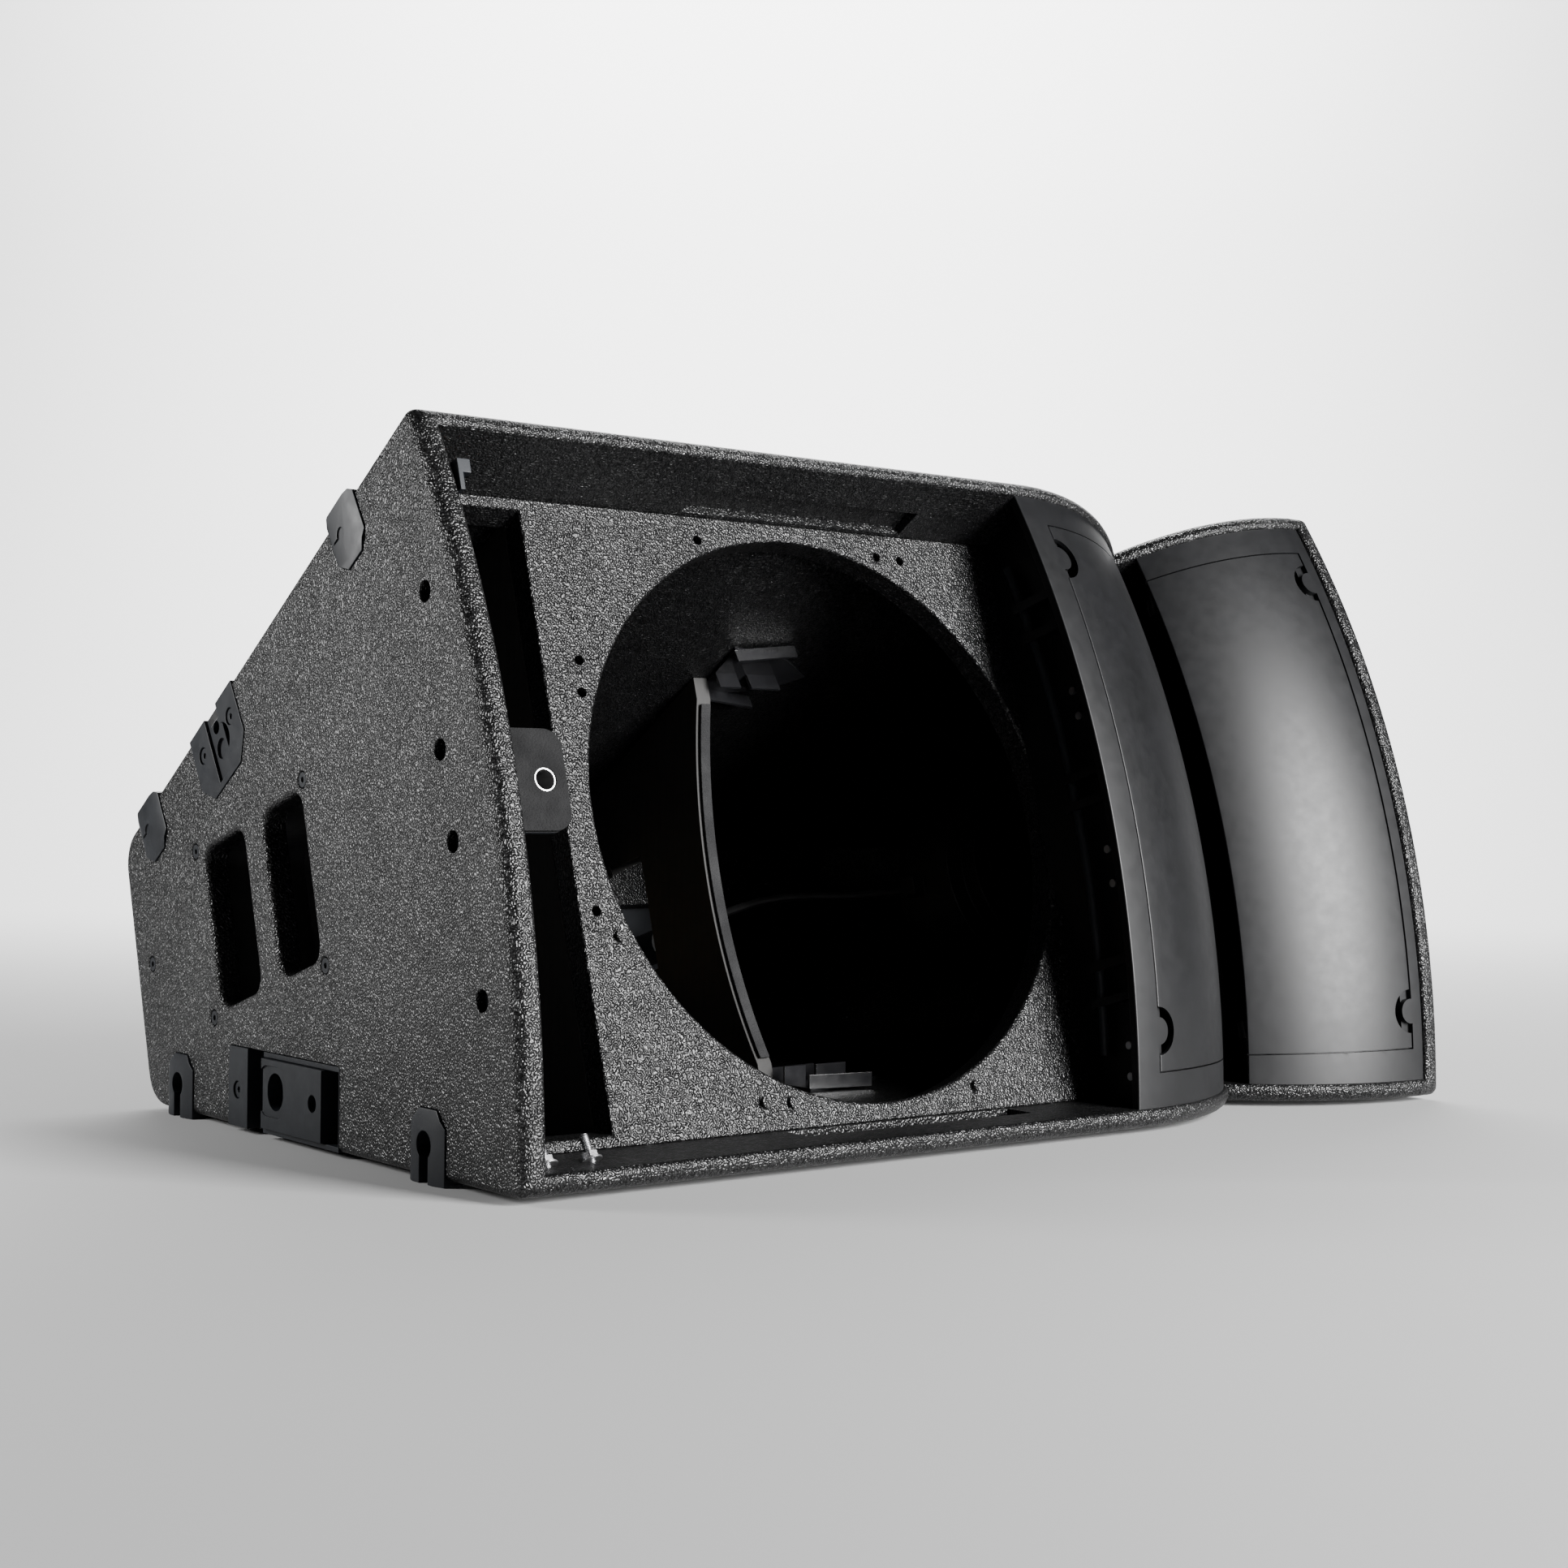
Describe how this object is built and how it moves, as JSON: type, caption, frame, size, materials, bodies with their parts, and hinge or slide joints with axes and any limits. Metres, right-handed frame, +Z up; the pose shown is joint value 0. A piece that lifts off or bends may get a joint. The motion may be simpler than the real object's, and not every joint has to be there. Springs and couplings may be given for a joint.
{
  "type": "line array speaker",
  "caption": "Wedge-shaped line array loudspeaker cabinet with open woofer bay, slot port, horn with hinged fins, hand holds and side rigging.",
  "frame": {"origin": "on the floor, under the middle of the cabinet's outline, with the cabinet standing on its bottom feet", "axes": "+X to the viewer's right along the width (woofer bay at -X, horn at +X), -Y out of the front, +Z up; the baffle leans back by half the wedge angle"},
  "size_m": [0.7492, 0.4992, 0.4158],
  "materials": {
    "textured_paint": "orange-peel polyurea coat on plywood",
    "plywood": "dark stained plywood",
    "foam": "matt foam",
    "moulded_black": "satin moulded",
    "black_steel": "satin powder coat",
    "bright_steel": "zinc plated",
    "driver_case": "satin black",
    "board": "solder mask",
    "components": "varnished",
    "cable": "matt jacket"
  },
  "bodies": {
    "cabinet": {"top_panel": "textured_paint", "bottom_panel": "textured_paint", "side_panel_left": "textured_paint", "side_panel_right": "textured_paint", "rear_panel": "textured_paint", "baffle": "textured_paint", "port_wall": "plywood", "bay_divider": "plywood", "edge_strip": "foam", "shelf_braces": "plywood", "divider_brackets": "moulded_black", "handle_cup_left": "moulded_black", "handle_cup_right": "moulded_black", "cup_screws": "black_steel", "feet_upper": "black_steel", "feet_lower": "black_steel", "rig_plate_left": "black_steel", "rig_plate_right": "black_steel", "rig_frame_left": "black_steel", "rig_frame_right": "black_steel", "rig_screws": "black_steel", "grille_bracket": "black_steel", "bracket_pad": "foam", "bracket_insert": "bright_steel", "lip_hook": "black_steel", "side_screws": "black_steel", "port_studs": "bright_steel", "horn_frame_left": "moulded_black", "horn_frame_right": "moulded_black", "pin_lugs": "moulded_black", "fin_pins": "bright_steel", "horn_wall": "moulded_black", "wall_screws": "bright_steel", "flange_rail": "black_steel", "rail_clips": "moulded_black", "waveguide": "moulded_black", "throat_screws": "bright_steel", "compression_driver": "driver_case", "driver_bolts": "bright_steel", "crossover_board": "board", "crossover_parts": "components", "connector_plate": "black_steel", "sockets": "moulded_black", "plate_gasket": "foam", "plate_screws": "black_steel", "driver_lead": "cable"},
    "fin_left": {"fin_left": "moulded_black"},
    "fin_right": {"fin_right": "moulded_black"},
    "link_left": {"link_left": "black_steel"},
    "link_right": {"link_right": "black_steel"},
    "latch_left": {"latch_left": "black_steel"},
    "latch_right": {"latch_right": "black_steel"}
  },
  "joints": [
    {"name": "fin_left_hinge", "type": "hinge", "parent": "cabinet", "child": "fin_left", "pos_m": [0.1985, -0.14348, 0.1963], "axis": [0, 0.284, 0.9588], "range_deg": [0, 14]},
    {"name": "fin_right_hinge", "type": "hinge", "parent": "cabinet", "child": "fin_right", "pos_m": [0.2405, -0.14348, 0.1963], "axis": [0, -0.284, -0.9588], "range_deg": [0, 14]},
    {"name": "link_left_slide", "type": "slide", "parent": "cabinet", "child": "link_left", "axis": [0, 0.5446, 0.8387], "range_m": [0, 0.028]},
    {"name": "link_right_slide", "type": "slide", "parent": "cabinet", "child": "link_right", "axis": [0, 0.5446, 0.8387], "range_m": [0, 0.028]},
    {"name": "latch_left_slide", "type": "slide", "parent": "cabinet", "child": "latch_left", "axis": [0, -1, 0], "range_m": [0, 0.016]},
    {"name": "latch_right_slide", "type": "slide", "parent": "cabinet", "child": "latch_right", "axis": [0, -1, 0], "range_m": [0, 0.016]}
  ]
}
